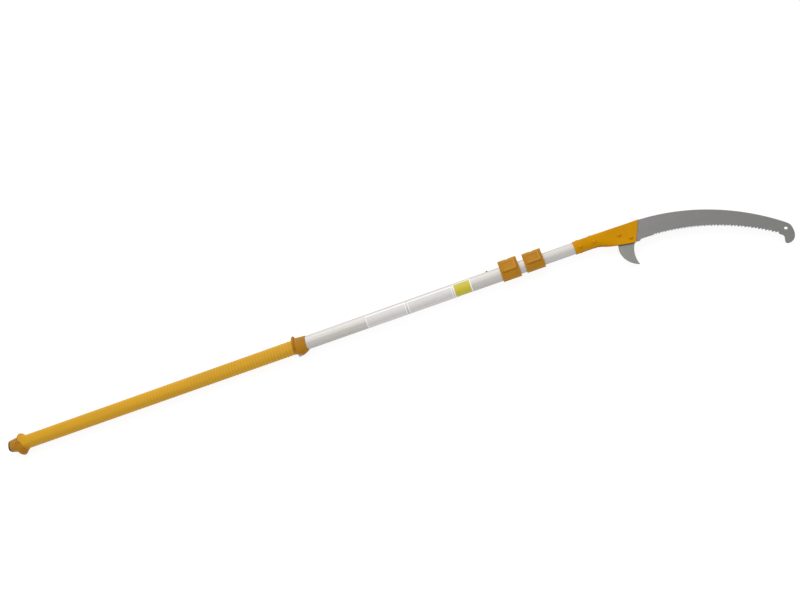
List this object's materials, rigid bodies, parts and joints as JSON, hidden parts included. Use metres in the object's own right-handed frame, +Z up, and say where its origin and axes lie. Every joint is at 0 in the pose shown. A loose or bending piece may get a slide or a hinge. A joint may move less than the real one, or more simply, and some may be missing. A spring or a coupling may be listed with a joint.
{
  "type": "telescopic pole saw",
  "caption": "Telescopic pole saw: oval aluminium tubes with lever locks, ribbed grip sleeve, painted bracket, curved toothed blade with a hook nose, and a small sickle blade.",
  "frame": {"origin": "middle of the footprint, on the floor that the saw lies on", "axes": "+X along the pole from the butt to the blade's nose, +Y in the blade's plane from the teeth towards the spine, +Z up, through the blade's thickness"},
  "size_m": [2.4162, 0.2334, 0.0496],
  "materials": {
    "black_rubber": "matt black rubber",
    "orange_plastic": "satin orange plastic",
    "yellow_vinyl": "soft yellow vinyl with ribs",
    "lock_plastic": "moulded orange plastic, slightly glossy",
    "aluminium": "anodised, drawn lengthwise",
    "steel": "zinc plated",
    "dark_steel": "blackened",
    "white_plastic": "plain moulded",
    "bracket_paint": "glossy orange paint over pressed steel",
    "blade_steel": "ground spring steel",
    "sickle_steel": "ground steel"
  },
  "bodies": {
    "base": {"butt_cushion": "black_rubber", "end_guard": "orange_plastic", "guard_rivet": "steel", "grip_sleeve": "yellow_vinyl", "hand_stop": "orange_plastic", "stop_screw": "dark_steel", "base_tube": "aluminium", "button_eyelet": "dark_steel", "button_spring": "steel", "clamp_collar_1": "lock_plastic", "collar_screw_1": "steel", "draw_bolt_1": "steel", "draw_nut_1": "steel", "lever_pin_1": "steel", "tube_liner_1": "white_plastic"},
    "lever_1": {"lock_lever_1": "lock_plastic"},
    "release_button": {"release_button": "dark_steel"},
    "middle": {"middle_tube": "aluminium", "tail_bush_1": "white_plastic", "clamp_collar_2": "lock_plastic", "collar_screw_2": "steel", "draw_bolt_2": "steel", "draw_nut_2": "steel", "lever_pin_2": "steel", "tube_liner_2": "white_plastic"},
    "snap_1": {"snap_leaf_1": "steel", "snap_pin_1": "steel"},
    "lever_2": {"lock_lever_2": "lock_plastic"},
    "head": {"inner_tube": "aluminium", "tail_bush_2": "white_plastic", "bracket_front": "bracket_paint", "bracket_back": "bracket_paint", "bracket_bolt_1": "bracket_paint", "bracket_bolt_2": "bracket_paint", "bracket_bolt_3": "bracket_paint", "bracket_bolt_4": "bracket_paint", "bracket_nut_1": "bracket_paint", "bracket_nut_2": "bracket_paint", "bracket_nut_3": "bracket_paint", "bracket_nut_4": "bracket_paint", "socket_screw_1": "bracket_paint", "socket_screw_2": "bracket_paint", "saw_blade": "blade_steel", "sickle_blade": "sickle_steel"},
    "snap_2": {"snap_leaf_2": "steel", "snap_pin_2": "steel"}
  },
  "joints": [
    {"name": "middle_slide", "type": "slide", "parent": "base", "child": "middle", "axis": [1, 0, 0], "range_m": [0, 1.22]},
    {"name": "head_slide", "type": "slide", "parent": "middle", "child": "head", "axis": [1, 0, 0], "range_m": [0, 1.22]},
    {"name": "lever_1_hinge", "type": "hinge", "parent": "base", "child": "lever_1", "pos_m": [0.47824, 0.10989, 0.039], "axis": [-1, 0, 0], "range_deg": [0, 105]},
    {"name": "lever_2_hinge", "type": "hinge", "parent": "middle", "child": "lever_2", "pos_m": [0.55024, 0.10819, 0.0373], "axis": [-1, 0, 0], "range_deg": [0, 105]},
    {"name": "button_press", "type": "slide", "parent": "base", "child": "release_button", "axis": [0, -1, 0], "range_m": [0, 0.001], "stiffness_N_per_m": 1000, "springref_m": -0.001},
    {"name": "snap_1_bend", "type": "hinge", "parent": "middle", "child": "snap_1", "pos_m": [-0.84331, 0.09789, 0.022], "axis": [0, 0, -1], "range_deg": [0, 2.5], "stiffness_Nm_per_rad": 2.2, "springref_deg": -1.72},
    {"name": "snap_2_bend", "type": "hinge", "parent": "head", "child": "snap_2", "pos_m": [-0.77131, 0.09619, 0.022], "axis": [0, 0, -1], "range_deg": [0, 2.5], "stiffness_Nm_per_rad": 2.2, "springref_deg": -1.72}
  ]
}
